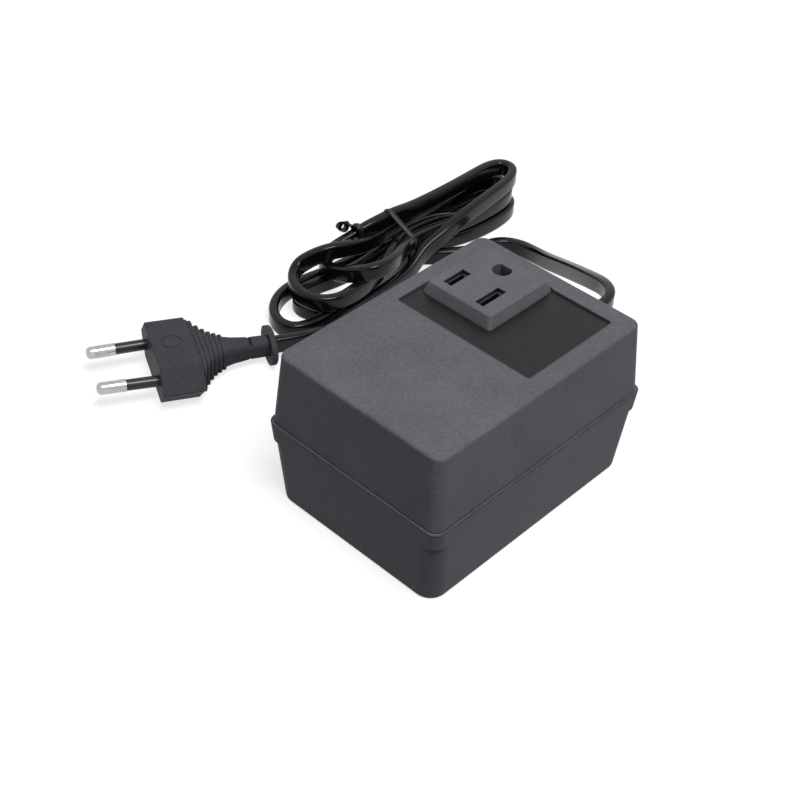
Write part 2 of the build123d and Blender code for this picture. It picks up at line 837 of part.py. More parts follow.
with BuildPart() as plug_body:
    with BuildSketch(plug_plane(0)):
        add(plug_outline(0))
    extrude(amount=plug_block_depth)
    fillet(plug_body.edges(), plug_edge_radius / 2)
    with BuildSketch(plug_plane(plug_block_depth)):
        add(plug_outline(plug_groove_depth))
    extrude(amount=plug_groove_width)
    # Neck, drawn in to the cord
    for distance, width, height in plug_neck_sections:
        with BuildSketch(plug_plane(distance)):
            RectangleRounded(width, height, height * neck_corner_share)
    loft(ruled=True)
    # Finger ridges round the neck
    for place in range(plug_ridge_count):
        distance = plug_neck_sections[0][0] + plug_ridge_width / 2 + plug_ridge_pitch * place
        width, height = neck_size(distance)
        with BuildSketch(plug_plane(distance)):
            RectangleRounded(*inset((width, height), -plug_ridge_height), height * neck_corner_share)
        extrude(amount=plug_ridge_width)
    # Oval flange at the cord's exit
    with BuildSketch(plug_plane(plug_flange_place)):
        Ellipse(plug_flange_width / 2, plug_flange_height / 2)
    extrude(amount=plug_length - plug_flange_place)
    fillet(plug_body.faces().sort_by(Axis(plug_front, plug_back))[-1].edges(), plug_flange_edge_radius)
    # Ring mark on the top face, and the slits through which the cord shows in the neck
    top_plane = Plane(
        origin=plug_front + plug_back * plug_button_place + plug_up * (plug_thickness / 2),
        x_dir=plug_back,
        z_dir=plug_up,
    )
    with BuildSketch(top_plane):
        Circle(plug_button_radius)
        Circle(plug_button_radius - plug_button_groove, mode=Mode.SUBTRACT)
    extrude(amount=-plug_button_depth, mode=Mode.SUBTRACT)
    slit_half_height = neck_size(plug_slit_place)[1] / 2
    slit_plane = Plane(origin=plug_front + plug_back * plug_slit_place, x_dir=plug_back, z_dir=plug_up)
    for side in (1, -1):
        with BuildSketch(slit_plane.offset(side * (slit_half_height - plug_slit_depth))):
            Rectangle(plug_slit_width, plug_slit_length)
        extrude(amount=side * (plug_slit_depth + overrun), mode=Mode.SUBTRACT)
    # Holes that the pins are moulded into
    for side in (1, -1):
        root, way = pin_line_ends(side)
        with BuildSketch(Plane(origin=root - way * pin_embed, z_dir=way)):
            Circle(pin_core_radius)
        extrude(amount=pin_embed, mode=Mode.SUBTRACT)
        with BuildSketch(Plane(origin=root - way * sleeve_embed, z_dir=way)):
            Circle(sleeve_radius)
        extrude(amount=sleeve_embed + overrun, mode=Mode.SUBTRACT)


def pin(side):
    """A plug pin: a thin core through the sleeve and a full-size bare end with a round tip."""
    root, way = pin_line_ends(side)
    with BuildPart() as rod:
        with BuildSketch(Plane(origin=root - way * pin_embed, z_dir=way)):
            Circle(pin_core_radius)
        extrude(amount=pin_embed + sleeve_length)
        with BuildSketch(Plane(origin=root + way * sleeve_length, z_dir=way)):
            Circle(pin_radius)
        extrude(amount=pin_bare_length)
        fillet(rod.faces().sort_by(Axis(root, way))[-1].edges(), pin_tip_radius)
    return rod.part


pin_line = pin(1)
pin_neutral = pin(-1)

with BuildPart() as pin_sleeves:
    for side in (1, -1):
        root, way = pin_line_ends(side)
        with BuildSketch(Plane(origin=root - way * sleeve_embed, z_dir=way)):
            Circle(sleeve_radius)
            Circle(pin_core_radius, mode=Mode.SUBTRACT)
        extrude(amount=sleeve_embed + sleeve_length)


# Cord from the strain relief down to the hank, and from the hank to the plug
hank_start = Vector(88.0, 70.6, 2.95)
hank_start_way = Vector(-0.98, 0.196, 0).normalized()
hank_end = Vector(46.0, 75.6, 2.95)
hank_first_run = 6.0
plug_last_run = 5.5
lead_points = [
    Vector(boot_tip_x, 0, boot_height),
    Vector(68.6, 0, boot_height),
    Vector(73.4, 2.2, 28.2),
    Vector(77.2, 7.2, 27.0),
    Vector(81.0, 14.5, 23.7),
    Vector(86.5, 24.0, 18.6),
    Vector(93.0, 35.0, 12.4),
    Vector(98.6, 45.5, 6.8),
    Vector(102.2, 54.0, 3.6),
    Vector(102.6, 61.0, 2.95),
    Vector(99.4, 66.8, 2.95),
    hank_start - hank_start_way * hank_first_run,
    hank_start,
]
tail_points = [
    hank_end,
    Vector(39.5, 75.6, 2.95),
    Vector(30.0, 74.9, 2.95),
    Vector(20.5, 73.2, 3.5),
    Vector(11.5, 72.2, 5.2),
    plug_exit + plug_back * plug_last_run,
    plug_exit,
]
# Where the hank's strands cross its waist, in their order along the cord: offset and height
hank_waist = (69.0, 87.0)
waist_strands = [
    (-6.8, 3.9),
    (6.6, 3.9),
    (-2.2, 3.9),
    (2.2, 3.9),
    (-1.0, 10.2),
    (6.2, 10.2),
    (-5.3, 10.2),
    (5.0, 16.5),
    (-10.0, 10.2),
]
# The hank's turns: their reach from the waist, the offsets of the strand that comes and the one
# that goes, their height, and the place and offset where each of the two leaves the bundle
left_turns = [
    (55.5, -6.8, 14.0, 2.95, 26.0, -6.8, 26.0, 14.0),
    (48.0, -2.4, 9.4, 2.95, 26.0, -2.4, 26.0, 9.4),
    (47.5, -8.6, 13.8, 9.25, 27.0, -8.6, 26.0, 13.8),
    (36.5, -8.2, 8.3, 15.9, 13.0, -6.6, 20.0, 8.0),
]
right_turns = [
    (51.5, 4.8, -12.0, 2.95, 26.0, 4.8, 26.0, -12.0),
    (42.5, 0.4, -7.8, 2.95, 26.0, 0.6, 31.0, -4.4),
    (50.5, 3.2, -8.6, 9.25, 26.0, 3.2, 26.0, -8.6),
    (53.5, 6.2, -11.4, 17.0, 24.0, 5.6, 28.0, -12.8),
]
cord_bend_share = 0.45


def bend_radii(points):
    """The largest arcs that the runs on both sides of each corner leave room for."""
    radii = []
    for before, corner, after in zip(points, points[1:], points[2:]):
        turn = math.radians((corner - before).get_angle(after - corner))
        run = min((corner - before).length, (after - corner).length)
        radii.append(cord_bend_share * run / math.tan(turn / 2))
    return radii


def upright_slot(origin, way):
    """The flat cord's section, standing on its edge."""
    with BuildSketch(Plane(origin=origin, x_dir=Vector(0, 0, 1), z_dir=way)) as section:
        SlotOverall(cord_width, cord_thickness)
    return section.sketch


cord_section = math.pi * cord_thickness**2 / 4 + cord_thickness * (cord_width - cord_thickness)


def report_cord(name, solid, length):
    """Print how a cord's volume compares with its section times its length."""
    print(name, "length", round(length, 1), "volume share", round(solid.volume / (cord_section * length), 4))


def free_cord(name, points):
    """A stretch of cord along straight runs joined by tangent arcs."""
    radii = bend_radii(points)
    with BuildPart() as stretch:
        with BuildLine() as route:
            FilletPolyline(*points, radius=radii)
        add(upright_slot(points[0], (points[1] - points[0]).normalized()))
        sweep(path=route.wires()[0])
    print(name, "radii", [round(radius, 1) for radius in radii])
    report_cord(name, stretch.part, route.wires()[0].length)
    return stretch.part


cord_lead = free_cord("cord_lead", lead_points)
cord_tail = free_cord("cord_tail", tail_points)


def hank_nodes():
    """Points that the hank passes, each with its heading."""
    middle_x, middle_y = hank_waist
    left = Vector(-1, 0, 0)
    nodes = [(hank_start, hank_start_way)]
    for place, (offset_y, height) in enumerate(waist_strands[:-1]):
        side = 1 if place % 2 else -1
        turns = (left_turns, right_turns)[place % 2]
        reach, first, second, level, near_x, near_y, far_x, far_y = turns[place // 2]
        turn_x = middle_x + side * (reach - abs(second - first) / 2)
        out, back = left * -side, left * side
        nodes += [
            (Vector(middle_x, middle_y + offset_y, height), out),
            (Vector(middle_x + side * near_x, middle_y + near_y, level), out),
            (Vector(turn_x, middle_y + first, level), out),
            (Vector(turn_x, middle_y + second, level), back),
            (Vector(middle_x + side * far_x, middle_y + far_y, level), back),
        ]
    offset_y, height = waist_strands[-1]
    return nodes + [(Vector(middle_x, middle_y + offset_y, height), left), (hank_end, left)]


def biarc_joint(start, start_way, end, end_way):
    """Where the two arcs between two headings meet, and the heading there."""
    chord = end - start
    ways = start_way + end_way
    spread = 2 * (1 - start_way.dot(end_way))
    along = chord.dot(ways)
    if spread < 1 / angle_limit:
        reach = chord.dot(chord) / (2 * along)
    else:
        reach = (math.sqrt(along**2 + spread * chord.dot(chord)) - along) / spread
    near, far = start + start_way * reach, end - end_way * reach
    return (near + far) / 2, (far - near).normalized()


def arc_or_line(start, way, end):
    """An arc that leaves along a heading, or a line where the end lies straight ahead."""
    if way.cross((end - start).normalized()).length < 1 / angle_limit:
        return Line(start, end)
    return TangentArc(start, end, tangent=way)


# Hank: loops laid out and back through the waist, in three layers
angle_limit = 1e6
with BuildPart() as cord_hank:
    with BuildLine() as hank_route:
        stops = hank_nodes()
        for (start, start_way), (end, end_way) in zip(stops, stops[1:]):
            joint, joint_way = biarc_joint(start, start_way, end, end_way)
            arc_or_line(start, start_way, joint)
            arc_or_line(joint, joint_way, end)
    add(upright_slot(hank_start, hank_start_way))
    sweep(path=hank_route.wires()[0])
hank_wire = hank_route.wires()[0]
report_cord("cord_hank", cord_hank.part, hank_wire.length)


def least_self_gap(wire, step, skip):
    """The least gap of the hank's strands to each other, measured on points along the cord."""
    count = int(wire.length / step)
    points = [wire.position_at(place / count) for place in range(count + 1)]
    flat = cord_width - cord_thickness
    least = wire.length
    for place, here in enumerate(points):
        for there in points[place + skip:]:
            across = math.hypot(there.X - here.X, there.Y - here.Y)
            upward = max(0, abs(there.Z - here.Z) - flat)
            least = min(least, math.hypot(across, upward) - cord_thickness)
    return least


gap_step = 1.0
print("cord_hank least gap to itself", round(least_self_gap(hank_wire, gap_step, int(5 * cord_thickness)), 2))


def hull(points):
    """The outermost of some points, in order round them."""
    chains = []
    for ordered in (sorted(points), sorted(points, reverse=True)):
        chain = []
        for point in ordered:
            while len(chain) > 1 and turns_right(chain[-2], chain[-1], point):
                chain.pop()
            chain.append(point)
        chains += chain[:-1]
    return chains


def turns_right(first, second, third):
    """Whether the way over three points goes straight on or turns right."""
    ahead = (second[0] - first[0]) * (third[1] - first[1])
    return ahead <= (second[1] - first[1]) * (third[0] - first[0])


def tie_outline(spread):
    """The outline pulled tight round the strands at the waist."""
    half = (cord_width - cord_thickness) / 2
    ends = [
        (hank_waist[1] + offset_y, height + side * half)
        for offset_y, height in waist_strands
        for side in (1, -1)
    ]
    with BuildSketch() as outline:
        Polygon(*hull(ends), align=None)
        offset(amount=cord_thickness / 2 + spread)
    return outline.sketch


# Tie round the waist
with BuildPart() as twist_tie:
    with BuildSketch(Plane.YZ.offset(hank_waist[0] - tie_width / 2)):
        add(tie_outline(tie_gap + tie_thickness))
        add(tie_outline(tie_gap), mode=Mode.SUBTRACT)
    extrude(amount=tie_width)


pieces = {
    "lower_shell": lower_shell.part,
    "upper_shell": upper_shell.part,
    "rating_label": rating_label.part,
    "socket_insert": socket_insert.part,
    "socket_back": socket_back.part,
    "socket_screw": socket_screw,
    "contact_line": contact_line,
    "contact_neutral": contact_neutral,
    "case_screws": case_screws,
    "core_e": core_e.part,
    "core_i": core_i.part,
    "bobbin": bobbin.part,
    "winding": winding,
    "winding_tape": winding_tape.part,
    "bobbin_tags": bobbin_tags.part,
    "thermal_fuse": thermal_fuse.part,
    "supply_wire_line": supply_wire_line,
    "supply_wire_neutral": supply_wire_neutral,
    "output_wire_line": output_wire_line,
    "output_wire_neutral": output_wire_neutral,
    "strain_relief": strain_relief.part,
    "cord_lead": cord_lead,
    "cord_hank": cord_hank.part,
    "cord_tail": cord_tail,
    "twist_tie": twist_tie.part,
    "plug_body": plug_body.part,
    "pin_line": pin_line,
    "pin_neutral": pin_neutral,
    "pin_sleeves": pin_sleeves.part,
}
for name, piece in pieces.items():
    piece.label = name
    export_step(piece, f"parts/{name}.step")
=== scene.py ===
import math

import bmesh
import bpy
from mathutils import Matrix, Vector


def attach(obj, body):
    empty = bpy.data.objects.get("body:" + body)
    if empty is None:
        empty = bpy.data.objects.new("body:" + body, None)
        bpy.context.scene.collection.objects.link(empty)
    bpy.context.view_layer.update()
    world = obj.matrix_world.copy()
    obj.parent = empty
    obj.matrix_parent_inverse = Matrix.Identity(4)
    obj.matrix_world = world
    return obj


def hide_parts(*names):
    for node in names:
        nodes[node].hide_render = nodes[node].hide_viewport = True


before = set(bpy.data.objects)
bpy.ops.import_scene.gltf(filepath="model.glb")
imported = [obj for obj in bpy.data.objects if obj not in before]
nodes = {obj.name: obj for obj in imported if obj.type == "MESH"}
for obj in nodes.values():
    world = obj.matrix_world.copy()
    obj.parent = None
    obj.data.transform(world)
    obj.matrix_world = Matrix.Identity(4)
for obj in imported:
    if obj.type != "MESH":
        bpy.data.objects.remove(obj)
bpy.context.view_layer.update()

MM = 0.001

# Camera, fitted to the photograph
VIEW_AZIMUTH = math.radians(-47.8)
VIEW_ELEVATION = math.radians(40.35)
VIEW_ROLL = math.radians(2.71)
VIEW_SHIFT = (-15.43 * MM, 22.74 * MM)
VIEW_DISTANCE = 440.3 * MM
FOCAL_PIXELS = 1486.4
IMAGE_PIXELS = 800
SENSOR = 36.0
CLIP_FACTOR = 100


def make_camera():
    """The camera at the photograph's viewpoint."""
    azimuth, elevation, roll = VIEW_AZIMUTH, VIEW_ELEVATION, VIEW_ROLL
    back = Vector((
        math.sin(azimuth) * math.cos(elevation),
        -math.cos(azimuth) * math.cos(elevation),
        math.sin(elevation),
    ))
    level = Vector((math.cos(azimuth), math.sin(azimuth), 0))
    upright = back.cross(level)
    right = level * math.cos(roll) + upright * math.sin(roll)
    up = upright * math.cos(roll) - level * math.sin(roll)
    data = bpy.data.cameras.new("camera")
    data.sensor_width = SENSOR
    data.lens = SENSOR * FOCAL_PIXELS / IMAGE_PIXELS
    data.clip_start = VIEW_DISTANCE / CLIP_FACTOR
    data.clip_end = VIEW_DISTANCE * CLIP_FACTOR
    camera = bpy.data.objects.new("camera", data)
    bpy.context.scene.collection.objects.link(camera)
    turn = Matrix((right, up, back)).transposed().to_4x4()
    turn.translation = right * VIEW_SHIFT[0] + up * VIEW_SHIFT[1] + back * VIEW_DISTANCE
    camera.matrix_world = turn
    bpy.context.scene.camera = camera


# Shader nodes
MIX_SHARE, MIX_FIRST, MIX_SECOND, MIX_RESULT = 0, 6, 7, 2
BEVEL_SAMPLES = 6
OPENNESS_SAMPLES = 8


def new_material(name):
    """An empty node material, its tree and its shader."""
    made = bpy.data.materials.new(name)
    made.use_nodes = True
    tree = made.node_tree
    return made, tree, tree.nodes["Principled BSDF"]


def add_node(tree, kind, inputs=None, **settings):
    """A shader node with its settings, and its inputs set to values or linked to outputs."""
    made = tree.nodes.new(kind)
    for key, value in settings.items():
        setattr(made, key, value)
    for key, value in (inputs or {}).items():
        if isinstance(value, bpy.types.NodeSocket):
            tree.links.new(value, made.inputs[key])
        else:
            made.inputs[key].default_value = value
    return made


def place(tree):
    """The place on the object, in metres."""
    return add_node(tree, "ShaderNodeTexCoord").outputs["Object"]


def stretched_place(tree, stretch):
    """The place on the object with its axes stretched."""
    inputs = {"Vector": place(tree), "Scale": stretch}
    return add_node(tree, "ShaderNodeMapping", inputs).outputs["Vector"]


def noise(tree, size, detail=2.0, rough=0.5, where=None):
    """Noise with features of about a size, in metres."""
    inputs = {
        "Vector": where or place(tree), "Scale": 1 / size, "Detail": detail, "Roughness": rough,
    }
    return add_node(tree, "ShaderNodeTexNoise", inputs).outputs["Fac"]


def spread(tree, value, low, high, start=0.3, end=0.7):
    """A value stretched to a new range, from the range that noise fills unless another is given."""
    inputs = {"Value": value, "From Min": start, "From Max": end, "To Min": low, "To Max": high}
    return add_node(tree, "ShaderNodeMapRange", inputs).outputs["Result"]


def combine(tree, operation, first, second):
    """The sum, product or larger one of two values."""
    return add_node(tree, "ShaderNodeMath", {0: first, 1: second}, operation=operation).outputs[0]


def blend_colours(tree, share, first, second):
    """Two colours mixed by a share."""
    inputs = {MIX_SHARE: share, MIX_FIRST: first, MIX_SECOND: second}
    return add_node(tree, "ShaderNodeMix", inputs, data_type="RGBA").outputs[MIX_RESULT]


def grey(level, warm=0.0):
    """A grey at a brightness, yellower where warm is above 0 and bluer where it is below."""
    return (level * (1 + warm / 4), level, level * (1 - warm), 1)


def soft_edges(tree, radius):
    """The surface's normal with its sharp edges slightly rounded."""
    inputs = {"Radius": radius}
    return add_node(tree, "ShaderNodeBevel", inputs, samples=BEVEL_SAMPLES).outputs["Normal"]


def bump(tree, height, distance, normal, strength=1.0):
    """The normal of a relief on the surface."""
    inputs = {"Height": height, "Distance": distance, "Strength": strength, "Normal": normal}
    return add_node(tree, "ShaderNodeBump", inputs).outputs["Normal"]


# Surfaces
CLOUD_SIZE = 14 * MM
CLOUD_SHARE = 0.3
FLECK_SHARE = 0.7
RUB_SIZE = 2.2 * MM
RUB_STRETCH = (1, 5, 1)
RUB_MARKS = (0.68, 0.78)
TONE_SWING = 0.3
GRAIN_GLOSS_SWING = 0.12
# Painted shade: lines darkened along the edges
EDGE_SHADE_LEVEL = 0.35
EDGE_SHADE_AGREEMENT = (0.93, 0.99)
# Painted shade: the colour down in wells
WELL_SHADE_LEVEL = 0.04
WELL_OPENNESS = (0.35, 0.75)
FLOW_SWING = 0.15
DUST_FINENESS = 12
SKIN_GLOSS = (0.8, 1.25)
STAIN_SIZE = 3 * MM
STAIN_LEVEL = 0.82
METAL_GLOSS = (0.7, 1.4)
METAL_EDGE = 0.1 * MM
DRAWING_DEPTH = 0.01 * MM
DRAWING_STRENGTH = 0.6


def shaded_edges(tree, radius):
    """1 beside the edges, where lines of painted shade go, and 0 elsewhere."""
    facing = add_node(tree, "ShaderNodeNewGeometry").outputs["Normal"]
    inputs = {0: soft_edges(tree, radius), 1: facing}
    agreement = add_node(tree, "ShaderNodeVectorMath", inputs, operation="DOT_PRODUCT")
    return spread(tree, agreement.outputs["Value"], 1, 0, *EDGE_SHADE_AGREEMENT)


def open_places(tree, distance):
    """1 on open surfaces, and 0 down in wells that are narrower than a distance, where painted
    shade goes.
    """
    inputs = {"Distance": distance}
    openness = add_node(tree, "ShaderNodeAmbientOcclusion", inputs, samples=OPENNESS_SAMPLES)
    return spread(tree, openness.outputs["AO"], 0, 1, *WELL_OPENNESS)


def moulded_plastic(
    name, level, roughness, grain, relief,
    edge=0.25 * MM, warm=-0.05, shine=0.35, scuff=0.0, shade=0.0, edge_shade=0.0,
):
    """Moulded plastic with a fine spark-eroded grain, a faint uneven tone and light scuffs.

    A shade above 0 paints shade into wells of that size; the last width, above 0, paints lines of
    shade along the edges.
    """
    made, tree, shader = new_material(name)
    cloud = noise(tree, CLOUD_SIZE, detail=4)
    fleck = noise(tree, grain, detail=3, rough=0.65)
    rub = noise(tree, RUB_SIZE, detail=6, rough=0.7, where=stretched_place(tree, RUB_STRETCH))
    broad = spread(tree, cloud, -CLOUD_SHARE, CLOUD_SHARE)
    tone = combine(tree, "ADD", broad, spread(tree, fleck, -FLECK_SHARE, FLECK_SHARE))
    worn = combine(tree, "ADD", tone, spread(tree, rub, 0, scuff, *RUB_MARKS))
    dark, light = grey(level * (1 - TONE_SWING), warm), grey(level * (1 + TONE_SWING), warm)
    tint = blend_colours(tree, spread(tree, worn, 0, 1, -1, 1), dark, light)
    # Painted shade: lines darkened along the edges
    if edge_shade:
        tint = blend_colours(tree, shaded_edges(tree, edge_shade), tint, grey(level * EDGE_SHADE_LEVEL, warm))
    # Painted shade: colour darkened down in wells
    if shade:
        tint = blend_colours(tree, open_places(tree, shade), grey(level * WELL_SHADE_LEVEL), tint)
    smooth, coarse = roughness * (1 - GRAIN_GLOSS_SWING), roughness * (1 + GRAIN_GLOSS_SWING)
    tree.links.new(tint, shader.inputs["Base Color"])
    tree.links.new(spread(tree, fleck, smooth, coarse), shader.inputs["Roughness"])
    tree.links.new(bump(tree, fleck, relief, soft_edges(tree, edge)), shader.inputs["Normal"])
    shader.inputs["Specular IOR Level"].default_value = shine
    return made


def smooth_skin(name, level, roughness, ripple, relief, edge=0.2 * MM, warm=0.0, shine=0.4):
    """A smooth moulded skin with faint flow marks and uneven gloss."""
    made, tree, shader = new_material(name)
    flow = noise(tree, ripple, detail=3)
    dust = noise(tree, ripple / DUST_FINENESS, detail=2)
    dark, light = grey(level * (1 - FLOW_SWING), warm), grey(level * (1 + FLOW_SWING), warm)
    tint = blend_colours(tree, spread(tree, flow, 0, 1), dark, light)
    smooth, coarse = (roughness * share for share in SKIN_GLOSS)
    tree.links.new(tint, shader.inputs["Base Color"])
    tree.links.new(spread(tree, dust, smooth, coarse), shader.inputs["Roughness"])
    tree.links.new(bump(tree, flow, relief, soft_edges(tree, edge)), shader.inputs["Normal"])
    shader.inputs["Specular IOR Level"].default_value = shine
    return made


def metal(name, colour, roughness, grain):
    """Plated or bare metal with fine drawing marks and faint stains."""
    made, tree, shader = new_material(name)
    stain = noise(tree, STAIN_SIZE, detail=4)
    fine = noise(tree, grain, detail=2)
    dark = tuple(channel * STAIN_LEVEL for channel in colour) + (1,)
    tint = blend_colours(tree, spread(tree, stain, 0, 1), dark, colour + (1,))
    smooth, coarse = (roughness * share for share in METAL_GLOSS)
    marks = bump(tree, fine, DRAWING_DEPTH, soft_edges(tree, METAL_EDGE), DRAWING_STRENGTH)
    tree.links.new(tint, shader.inputs["Base Color"])
    tree.links.new(spread(tree, fine, smooth, coarse), shader.inputs["Roughness"])
    tree.links.new(marks, shader.inputs["Normal"])
    shader.inputs["Metallic"].default_value = 1.0
    return made


def give(made, *names):
    """Put a material on CAD nodes."""
    for name in names:
        if len(nodes[name].material_slots) == 0:
            nodes[name].data.materials.append(made)
        for slot in nodes[name].material_slots:
            slot.material = made


def dress_outside():
    """Materials of the CAD pieces that show."""
    # The case has lines of painted shade along its edges.
    case = moulded_plastic(
        "case_grain", level=0.122, roughness=0.55, grain=0.7 * MM, relief=0.04 * MM,
        edge=0.15 * MM, warm=-0.13, shine=0.1, scuff=0.35, edge_shade=1.1 * MM,
    )
    label = smooth_skin(
        "label_film", level=0.012, roughness=0.36, ripple=9 * MM, relief=0.01 * MM,
        edge=0.05 * MM, shine=0.2,
    )
    # The socket has painted shade down in its wells.
    socket = moulded_plastic(
        "socket_grain", level=0.13, roughness=0.5, grain=0.5 * MM, relief=0.02 * MM,
        edge=0.12 * MM, warm=-0.1, shine=0.1, shade=5 * MM,
    )
    plug = moulded_plastic(
        "plug_skin", level=0.06, roughness=0.5, grain=0.6 * MM, relief=0.02 * MM,
        warm=-0.13, shine=0.05,
    )
    boot = moulded_plastic(
        "relief_skin", level=0.02, roughness=0.42, grain=0.5 * MM, relief=0.015 * MM,
        warm=-0.1, shine=0.3,
    )
    sleeve = smooth_skin(
        "sleeve_skin", level=0.01, roughness=0.28, ripple=2 * MM, relief=0.01 * MM, shine=0.4
    )
    nickel = metal("nickel_pins", (0.5, 0.49, 0.475), roughness=0.14, grain=0.4 * MM)
    give(case, "lower_shell", "upper_shell")
    give(label, "rating_label")
    give(socket, "socket_insert")
    give(plug, "plug_body")
    give(boot, "strain_relief")
    give(nickel, "pin_line", "pin_neutral")
    give(sleeve, "pin_sleeves")


def dress_inside():
    """Materials of the CAD pieces inside the case and of its screws."""
    zinc = metal("zinc_screws", (0.55, 0.55, 0.54), roughness=0.3, grain=0.3 * MM)
    brass = metal("contact_metal", (0.7, 0.52, 0.25), roughness=0.3, grain=0.3 * MM)
    steel = metal("core_plates", (0.3, 0.3, 0.31), roughness=0.5, grain=0.35 * MM)
    copper = metal("winding_copper", (0.7, 0.3, 0.12), roughness=0.35, grain=0.6 * MM)
    cover = moulded_plastic(
        "cover_grain", level=0.06, roughness=0.5, grain=0.3 * MM, relief=0.012 * MM
    )
    nylon = smooth_skin(
        "bobbin_nylon", level=0.6, roughness=0.5, ripple=6 * MM, relief=0.02 * MM, warm=0.08
    )
    tape = smooth_skin(
        "tape_film", level=0.4, roughness=0.35, ripple=4 * MM, relief=0.02 * MM, warm=0.5
    )
    wire = smooth_skin(
        "wire_skin", level=0.12, roughness=0.4, ripple=3 * MM, relief=0.01 * MM, warm=0.3
    )
    give(zinc, "case_screws", "socket_screw", "thermal_fuse")
    give(brass, "contact_line", "contact_neutral", "bobbin_tags")
    give(cover, "socket_back")
    give(steel, "core_e", "core_i")
    give(nylon, "bobbin")
    give(copper, "winding")
    give(tape, "winding_tape")
    give(wire, "supply_wire_line", "supply_wire_neutral", "output_wire_line", "output_wire_neutral")


# Cord, in millimetres: a flat cord that stands on its narrow edge
CORD_WIDTH = 5.8
CORD_THICKNESS = 3.3
CORD_EDGE = 1.0
CORD_EDGE_STEPS = 4
CORD_SINK = 0.94
LINE_STEPS = 8

# Plug: the middle of its face, the way that it points and how far it tips up
PLUG_FACE = (-35.4, 95.3, 7.393)
PLUG_ANGLE = math.radians(153.0)
PLUG_TILT = math.radians(2.5)
PLUG_LENGTH = 39.0
LAST_RUN = 5.5

# Heights of the cord's middle: on the floor, on one strand and on top of the hank
LOW = 2.95
MID = 9.25
TOP = 16.8

